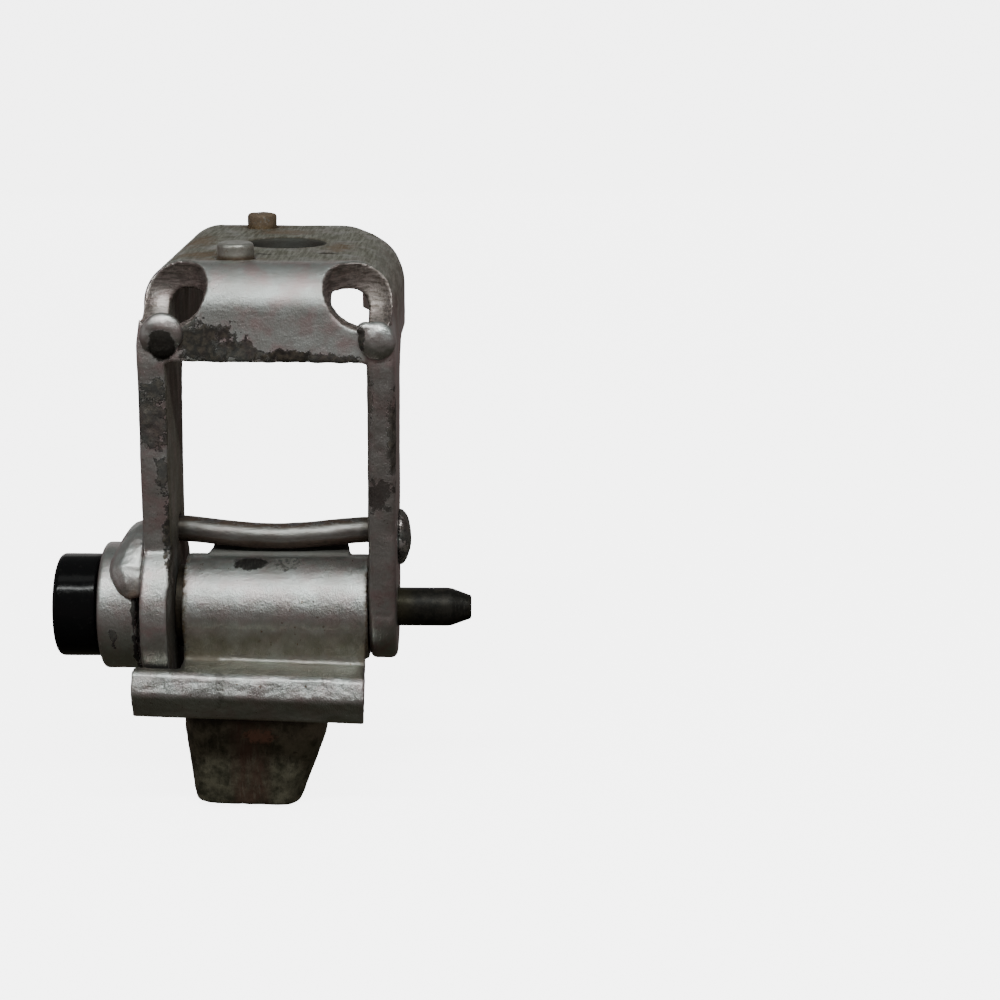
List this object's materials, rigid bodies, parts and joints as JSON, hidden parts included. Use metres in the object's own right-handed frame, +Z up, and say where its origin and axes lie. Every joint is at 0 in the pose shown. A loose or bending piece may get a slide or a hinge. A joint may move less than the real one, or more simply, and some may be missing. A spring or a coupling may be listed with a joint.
{
  "type": "door hinge",
  "caption": "Welded steel door hinge: folded door leaf with bolt hole and locating pegs, swinging on a capped pin in a forged body leaf with a tapered foot.",
  "frame": {"origin": "on the underside of the base (its seat on the body), straight below the middle of the pin", "axes": "+X along the pin from its capped head to its tapered tip, -Y the front where the base's nose points, +Z up from the foot to the door leaf's top plate"},
  "size_m": [0.0898, 0.0829, 0.1226],
  "materials": {
    "door_bracket": "silver paint over folded steel plate, worn",
    "peg_front": "silver paint over steel, worn",
    "peg_rear": "silver paint over steel, rust at its base",
    "stop_rod": "silver paint over steel bar, worn along its underside",
    "rod_weld_tip_side": "silver paint over weld metal",
    "corner_weld_head_side": "silver paint over weld metal, burnt spot",
    "corner_weld_tip_side": "silver paint over weld metal",
    "collar_weld": "silver paint over weld metal",
    "pin_collar": "silver paint over turned steel",
    "pivot_pin": "black oxide on turned steel",
    "pin_cap": "glossy black",
    "knuckle": "silver paint over a forging, worn on top of the barrel",
    "foot": "bare dark steel, stained",
    "bush_head_side": "bronze",
    "bush_tip_side": "bronze",
    "thrust_washer": "dark greased steel"
  },
  "bodies": {
    "body_leaf": {"knuckle": "knuckle", "foot": "foot", "bush_head_side": "bush_head_side", "bush_tip_side": "bush_tip_side", "thrust_washer": "thrust_washer"},
    "door_leaf": {"door_bracket": "door_bracket", "peg_front": "peg_front", "peg_rear": "peg_rear", "stop_rod": "stop_rod", "rod_weld_tip_side": "rod_weld_tip_side", "corner_weld_head_side": "corner_weld_head_side", "corner_weld_tip_side": "corner_weld_tip_side", "collar_weld": "collar_weld", "pin_collar": "pin_collar", "pivot_pin": "pivot_pin", "pin_cap": "pin_cap"}
  },
  "joints": [
    {"name": "leaf_swing", "type": "hinge", "parent": "body_leaf", "child": "door_leaf", "pos_m": [0, 0, 0.022], "axis": [1, 0, 0], "range_deg": [0, 75]}
  ]
}
